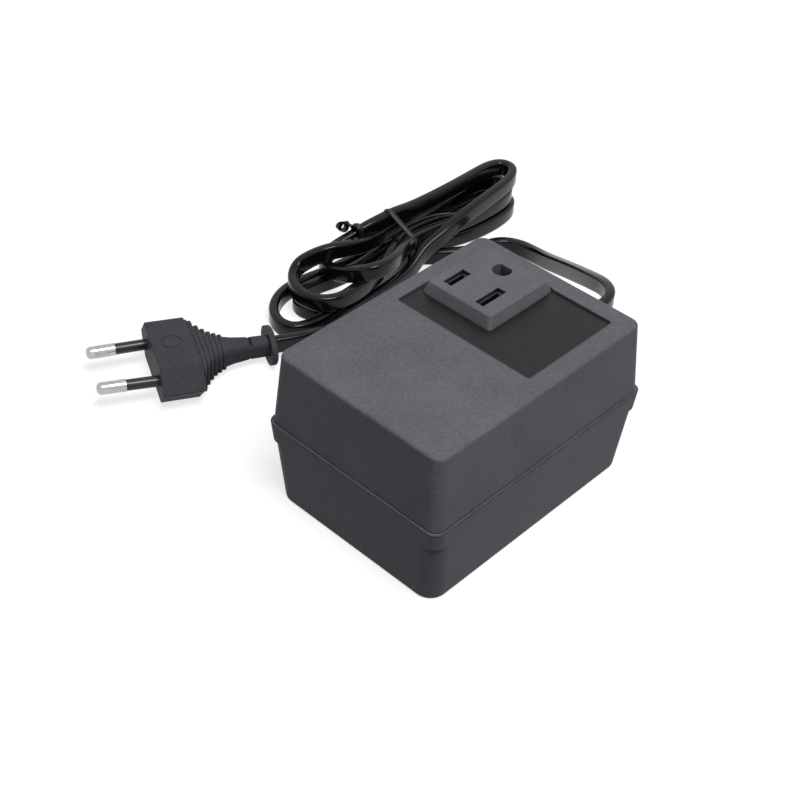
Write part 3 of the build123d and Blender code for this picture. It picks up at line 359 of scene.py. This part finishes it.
# Control points of the cord's smooth route, from the strain relief through the hank to the plug.
# Each turn starts at the hank's waist, at x = 69, where the tie lies round it.
BOOT_TIP = (64.2, 0.0, 28.4)
LEAD_POINTS = [
    BOOT_TIP, (68.6, 0.0, 28.4), (73.4, 2.2, 28.2), (77.2, 7.2, 27.0), (81.0, 14.5, 23.7),
    (86.5, 24.0, 18.6), (93.0, 35.0, 12.4), (98.6, 45.5, 6.8), (102.2, 54.0, 3.6),
    (102.6, 61.0, LOW), (99.4, 66.8, LOW), (93.9, 69.4, LOW),
]
HANK_POINTS = [
    # into the bundle, then the outer left turn
    (88.0, 70.6, LOW), (82.5, 72.8, 3.4), (76.0, 78.4, LOW), (69.0, 83.6, 3.85),
    (60.0, 83.6, 3.4), (48.0, 80.2, LOW), (37.2, 78.9, LOW), (27.0, 78.7, LOW),
    (18.4, 78.2, LOW), (11.6, 80.2, LOW), (9.6, 85.8, LOW), (12.2, 92.0, LOW),
    (18.0, 96.6, LOW), (25.0, 98.6, LOW), (33.0, 97.8, 3.1), (42.0, 95.8, 3.3),
    (53.0, 95.2, 3.2), (62.0, 95.4, 3.4),
    # lower right turn
    (69.0, 95.4, 3.85), (80.0, 95.0, 3.4), (94.0, 94.2, LOW), (107.0, 93.8, LOW),
    (117.0, 93.2, LOW), (121.8, 90.6, LOW), (122.9, 86.0, LOW), (121.0, 81.4, LOW),
    (115.6, 78.9, LOW), (106.0, 78.2, LOW), (94.0, 79.6, LOW), (82.0, 83.4, 3.4),
    # inner left turn
    (69.0, 87.8, 3.85), (60.0, 87.4, 3.4), (51.0, 84.6, LOW), (42.0, 82.7, LOW),
    (34.0, 82.2, LOW), (26.6, 82.1, LOW), (21.6, 85.4, LOW), (21.8, 90.8, LOW),
    (26.0, 94.4, LOW), (33.0, 94.2, LOW), (42.0, 92.0, LOW), (53.0, 91.5, LOW),
    (61.0, 91.7, 3.4),
    # inner right turn, which climbs to the second layer
    (69.0, 91.6, 3.85), (80.0, 91.2, 3.4), (92.0, 90.6, LOW), (103.0, 90.4, LOW),
    (110.6, 90.2, LOW), (115.8, 88.9, LOW), (117.2, 85.8, LOW), (115.0, 82.7, LOW),
    (109.0, 81.9, 3.0), (102.0, 82.8, 4.2), (94.0, 84.8, 7.0), (84.0, 86.8, 9.7),
    # middle left turn, which climbs over the short turn
    (69.0, 87.6, 10.15), (60.0, 83.8, 9.7), (51.6, 79.2, MID), (41.5, 76.6, MID),
    (33.4, 75.8, MID), (26.2, 76.6, MID), (21.6, 80.4, MID), (20.2, 86.2, MID),
    (21.8, 92.2, MID), (25.6, 96.8, MID), (30.0, 98.6, 10.6), (34.0, 96.2, 13.4),
    (39.0, 92.8, 15.4), (46.0, 90.2, 14.8), (54.0, 90.6, 12.4), (61.0, 92.0, 10.8),
    # middle right turn
    (69.0, 93.4, 10.15), (80.0, 93.6, 9.7), (94.0, 94.0, MID), (107.0, 94.0, MID),
    (115.8, 93.2, MID), (120.4, 90.8, MID), (121.8, 86.6, MID), (120.0, 82.2, MID),
    (115.0, 79.7, MID), (106.0, 79.0, MID), (94.0, 79.8, MID), (82.0, 81.8, 9.85),
    # short left turn, over the front strands and under the middle turn
    (69.0, 82.6, 10.9), (61.0, 79.2, 12.8), (54.0, 75.4, 14.6), (47.0, 73.2, 15.4),
    (41.0, 74.4, 15.5), (38.0, 79.2, 13.6), (37.0, 84.8, 11.2), (37.0, 90.4, 9.6),
    (38.0, 95.0, 9.3), (41.4, 97.4, 9.6), (46.4, 97.2, 11.0), (51.4, 95.6, 12.8),
    (57.0, 94.0, 15.0), (62.5, 92.8, 16.1),
    # right turn on top
    (69.0, 92.2, 16.5), (77.0, 90.6, 16.4), (88.0, 89.6, TOP), (99.5, 89.5, TOP),
    (110.0, 89.7, TOP), (116.6, 89.6, TOP), (121.0, 87.4, TOP), (121.5, 83.0, TOP),
    (117.8, 79.6, TOP), (111.0, 77.7, TOP), (99.0, 76.4, 16.6), (87.0, 75.6, 15.8),
    (77.0, 75.4, 13.0),
    # down in front of the bundle to the floor
    (69.0, 77.2, 9.2), (61.5, 75.8, 5.2), (54.5, 75.7, 3.5), (46.0, 75.6, LOW),
]
TAIL_POINTS = [(39.5, 75.6, LOW), (30.0, 74.9, LOW), (20.5, 73.2, 3.5), (11.5, 72.2, 5.2)]


def cord_corners():
    """All control points of the cord, in millimetres."""
    flat_run = math.cos(PLUG_TILT)
    plug_back = -Vector((
        math.cos(PLUG_ANGLE) * flat_run, math.sin(PLUG_ANGLE) * flat_run, math.sin(PLUG_TILT)
    ))
    plug_exit = Vector(PLUG_FACE) + plug_back * PLUG_LENGTH
    route = [Vector(point) for point in LEAD_POINTS + HANK_POINTS + TAIL_POINTS]
    return route + [plug_exit + plug_back * LAST_RUN, plug_exit]


def spline_line(points, name):
    """The points, in metres, of the smooth line that a NURBS spline draws near its corners."""
    data = bpy.data.curves.new(name, "CURVE")
    data.dimensions = "3D"
    data.resolution_u = LINE_STEPS
    spline = data.splines.new("NURBS")
    spline.points.add(len(points) - 1)
    for point, corner in zip(spline.points, points):
        point.co = (*(corner * MM), 1)
    spline.order_u = 3
    spline.use_endpoint_u = True
    holder = bpy.data.objects.new(name, data)
    bpy.context.scene.collection.objects.link(holder)
    bpy.context.view_layer.update()
    mesh = bpy.data.meshes.new_from_object(holder)
    line = [vertex.co.copy() for vertex in mesh.vertices]
    bpy.data.objects.remove(holder)
    bpy.data.meshes.remove(mesh)
    return line


def heading(line, index):
    """The direction of a line of points at one of them."""
    before, after = line[max(index - 1, 0)], line[min(index + 1, len(line) - 1)]
    return (after - before).normalized()


def flat_cord_section():
    """The flat cord's outline: rounded edges, and sides that sink between its two cores."""
    half, tall = CORD_THICKNESS / 2, CORD_WIDTH / 2
    outline = []
    for quarter, (side, rise) in enumerate(((1, 1), (-1, 1), (-1, -1), (1, -1))):
        for step in range(CORD_EDGE_STEPS + 1):
            angle = (quarter + step / CORD_EDGE_STEPS) * math.pi / 2
            x = side * (half - CORD_EDGE) + CORD_EDGE * math.cos(angle)
            y = rise * (tall - CORD_EDGE) + CORD_EDGE * math.sin(angle)
            outline.append((x * MM, y * MM))
        if side != rise:
            outline.append((side * half * CORD_SINK * MM, 0.0))
    return outline


def upright_rings(line, section):
    """A section set along a line, always standing upright."""
    rings = []
    for index, here in enumerate(line):
        ahead = heading(line, index)
        across = ahead.cross(Vector((0, 0, 1))).normalized()
        upward = across.cross(ahead).normalized()
        rings.append([here + across * x + upward * y for x, y in section])
    return rings


def skin_rings(name, rings, closed):
    """A smooth mesh over a row of equal rings of points, closed on itself or capped."""
    mesh = bmesh.new()
    rows = [[mesh.verts.new(point) for point in ring] for ring in rings]
    pairs = list(zip(rows, rows[1:]))
    if closed:
        pairs.append((rows[-1], rows[0]))
    for first, second in pairs:
        for spot in range(len(first)):
            following = (spot + 1) % len(first)
            mesh.faces.new((first[spot], second[spot], second[following], first[following]))
    if not closed:
        mesh.faces.new(rows[0])
        mesh.faces.new(reversed(rows[-1]))
    bmesh.ops.recalc_face_normals(mesh, faces=mesh.faces)
    for face in mesh.faces:
        face.smooth = True
    data = bpy.data.meshes.new(name)
    mesh.to_mesh(data)
    mesh.free()
    made = bpy.data.objects.new(name, data)
    bpy.context.scene.collection.objects.link(made)
    return made


# Tie, in millimetres: a plastic ribbon with a wire down its middle
TIE_HALF_WIDTH = 1.05
TIE_THICKNESS = 0.32
WIRE_FOOT = 0.45
WIRE_SHOULDER = (0.3, 0.54)
WIRE_TOP = 0.64
TIE_GAP = 0.12
RING_STEPS = 40
RING_SPACING = 0.8

# Where the rings lie, with the (y, z) middles of the strands that each goes round
BUNDLE_X = 67.6
BUNDLE_LEAN = -0.06
BUNDLE_STRANDS = [
    (83.7, 3.75), (87.6, 3.75), (91.6, 3.75), (95.4, 3.75), (82.1, 11.2), (87.2, 10.0),
    (93.4, 10.0), (92.3, 16.3),
]
TOP_STRAND_X = 53.4
TOP_STRAND_LEAN = -0.12
TOP_STRAND = [(93.9, 15.85)]

# The ribbon from ring to ring, and its curled end
LINK_ROUTE = [
    (67.4, 97.3, 8.4), (64.6, 97.4, 9.6), (61.4, 97.0, 11.4), (58.2, 96.4, 12.6),
    (55.0, 96.0, 13.2),
]
LINK_TWIST = 0.0
CURL_ROUTE = [
    (55.4, 95.9, 13.4), (54.4, 96.8, 15.2), (53.2, 97.6, 17.4), (51.8, 98.4, 18.6),
    (50.6, 99.4, 18.2), (50.2, 100.2, 16.4), (51.0, 100.0, 14.8), (52.4, 99.0, 14.8),
    (53.0, 98.6, 16.6), (52.6, 99.0, 18.2),
]
CURL_TWIST = 0.75


def turns_back(first, second, third):
    """Whether the way over three points goes straight on or turns right."""
    ahead = (second[0] - first[0]) * (third[1] - first[1])
    return ahead <= (second[1] - first[1]) * (third[0] - first[0])


def tight_outline(strands):
    """The outline pulled tight round upright flat strands, as (y, z) points."""
    half = (CORD_WIDTH - CORD_THICKNESS) / 2
    radius = CORD_THICKNESS / 2 + TIE_GAP
    spots = []
    for y, z in strands:
        for side in (1, -1):
            for step in range(RING_STEPS):
                angle = math.tau * step / RING_STEPS
                rise = side * half + radius * math.sin(angle)
                spots.append((y + radius * math.cos(angle), z + rise))
    spots.sort()
    outline = []
    for row in (spots, spots[::-1]):
        chain = []
        for spot in row:
            while len(chain) > 1 and turns_back(chain[-2], chain[-1], spot):
                chain.pop()
            chain.append(spot)
        outline += chain[:-1]
    return outline


def evened(outline):
    """A closed outline with points added along its long sides."""
    filled = []
    for first, second in zip(outline, outline[1:] + outline[:1]):
        count = max(1, round(math.dist(first, second) / RING_SPACING))
        for step in range(count):
            share = step / count
            filled.append(tuple(a + (b - a) * share for a, b in zip(first, second)))
    return filled


def ribbon_section():
    """The ribbon's outline, with a bead over its wire: across it, and out from what it lies on."""
    half, thick = TIE_HALF_WIDTH, TIE_THICKNESS
    shoulder, height = WIRE_SHOULDER
    return [
        (-half, 0), (half, 0), (half, thick), (WIRE_FOOT, thick), (shoulder, height),
        (0, WIRE_TOP), (-shoulder, height), (-WIRE_FOOT, thick), (-half, thick),
    ]


def ribbon_ring(name, strands, at_x, lean):
    """A turn of the ribbon pulled tight round strands, leaning along the cord with height."""
    outline = evened(tight_outline(strands))
    middle_z = sum(z for y, z in strands) / len(strands)
    rings = []
    for index, (y, z) in enumerate(outline):
        before, after = outline[index - 1], outline[(index + 1) % len(outline)]
        along = Vector((0, after[0] - before[0], after[1] - before[1])).normalized()
        outward = Vector((0, along.z, -along.y))
        here = Vector((at_x + (z - middle_z) * lean, y, z))
        rings.append([
            (here + Vector((x, 0, 0)) + outward * out) * MM for x, out in ribbon_section()
        ])
    return skin_rings(name, rings, True)


def ribbon_strip(name, route, start_side, turns):
    """A free length of the ribbon along a smooth route, twisting as it goes."""
    line = spline_line([Vector(point) for point in route], name + "_line")
    rings = []
    side = Vector(start_side).normalized()
    for index, here in enumerate(line):
        ahead = heading(line, index)
        side = (side - ahead * side.dot(ahead)).normalized()
        across = Matrix.Rotation(math.tau * turns * index / (len(line) - 1), 3, ahead) @ side
        outward = ahead.cross(across)
        rings.append([
            here + (across * x + outward * (out - TIE_THICKNESS / 2)) * MM
            for x, out in ribbon_section()
        ])
    return skin_rings(name, rings, False)


def make_tie():
    """The ribbon: round the bundle, along its back, round the top strand, and a curled end."""
    skin = smooth_skin(
        "tie_skin", level=0.012, roughness=0.32, ripple=3 * MM, relief=0.02 * MM,
        warm=-0.1, shine=0.3,
    )
    pieces = [
        ribbon_ring("tie_ring", BUNDLE_STRANDS, BUNDLE_X, BUNDLE_LEAN),
        ribbon_ring("tie_second_ring", TOP_STRAND, TOP_STRAND_X, TOP_STRAND_LEAN),
        ribbon_strip("tie_link", LINK_ROUTE, (0, 0, 1), LINK_TWIST),
        ribbon_strip("tie_tail", CURL_ROUTE, (1, 0, 0), CURL_TWIST),
    ]
    for piece in pieces:
        piece.data.materials.append(skin)
        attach(piece, "root")
    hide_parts("twist_tie")
    return pieces


def make_cord(tie):
    """The flat cord from the strain relief to the plug."""
    line = spline_line(cord_corners(), "cord_line")
    cord = skin_rings("flat_cord", upright_rings(line, flat_cord_section()), False)
    skin = smooth_skin(
        "cord_pvc", level=0.004, roughness=0.2, ripple=5 * MM, relief=0.03 * MM,
        warm=-0.2, shine=0.24,
    )
    cord.data.materials.append(skin)
    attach(cord, "root")
    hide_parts("cord_lead", "cord_hank", "cord_tail")


# Light, floor and background, in metres
WHITE = (1, 1, 1, 1)
SURROUND_LIGHT = 0.16
KEY_PLACE = (-0.13, -0.47, 1.33)
KEY_AIM = (0, 0.03, 0.03)
KEY_SIZE = 0.6
KEY_POWER = 17.4
FLOOR_HALF = 2.0
FLOOR_DROP = 0.02 * MM
FLOOR_BOUNCE = 0.08
FLOOR_SHOWN = 0.35
FLOOR_ROUGHNESS = 0.9
FLOOR_GLOW = (0.75, 1.0)
FLOOR_GLOW_SPAN = (0.3, 0.8)


def make_key_light():
    """A soft square lamp, high up and in front of the object."""
    data = bpy.data.lights.new("key", "AREA")
    data.shape = "SQUARE"
    data.size = KEY_SIZE
    data.energy = KEY_POWER
    lamp = bpy.data.objects.new("key", data)
    bpy.context.scene.collection.objects.link(lamp)
    lamp.location = KEY_PLACE
    lamp.rotation_mode = "QUATERNION"
    lamp.rotation_quaternion = (Vector(KEY_AIM) - Vector(KEY_PLACE)).to_track_quat("-Z", "Y")


def shown_directly(tree):
    """1 for what the camera, a reflection or a clear surface shows, and 0 for lighting."""
    light_path = add_node(tree, "ShaderNodeLightPath")
    shown = light_path.outputs["Is Camera Ray"]
    for kind in ("Is Glossy Ray", "Is Transmission Ray"):
        shown = combine(tree, "MAXIMUM", shown, light_path.outputs[kind])
    return shown


def make_world():
    """An even surround that lights softly and shows as white."""
    world = bpy.data.worlds.new("surround")
    bpy.context.scene.world = world
    world.use_nodes = True
    tree = world.node_tree
    back = tree.nodes["Background"]
    back.inputs["Color"].default_value = WHITE
    strength = spread(tree, shown_directly(tree), SURROUND_LIGHT, 1.0, 0, 1)
    tree.links.new(strength, back.inputs["Strength"])


def make_floor():
    """A plain white floor that keeps a soft shadow, and glows more where the lamp fades."""
    data = bpy.data.meshes.new("floor")
    corners = [(-1, -1), (1, -1), (1, 1), (-1, 1)]
    spots = [(x * FLOOR_HALF, y * FLOOR_HALF, -FLOOR_DROP) for x, y in corners]
    data.from_pydata(spots, [], [(0, 1, 2, 3)])
    floor = bpy.data.objects.new("floor", data)
    bpy.context.scene.collection.objects.link(floor)
    made, tree, shader = new_material("floor_white")
    shown = shown_directly(tree)
    tint = blend_colours(tree, shown, grey(FLOOR_BOUNCE), grey(FLOOR_SHOWN))
    span = add_node(tree, "ShaderNodeVectorMath", {0: place(tree)}, operation="LENGTH")
    glow = spread(tree, span.outputs["Value"], *FLOOR_GLOW, *FLOOR_GLOW_SPAN)
    tree.links.new(tint, shader.inputs["Base Color"])
    shader.inputs["Roughness"].default_value = FLOOR_ROUGHNESS
    shader.inputs["Specular IOR Level"].default_value = 0.0
    shader.inputs["Emission Color"].default_value = WHITE
    tree.links.new(combine(tree, "MULTIPLY", shown, glow), shader.inputs["Emission Strength"])
    data.materials.append(made)


make_camera()
make_cord(make_tie())
dress_outside()
dress_inside()
make_floor()
make_world()
make_key_light()
bpy.context.scene.view_settings.view_transform = "Standard"
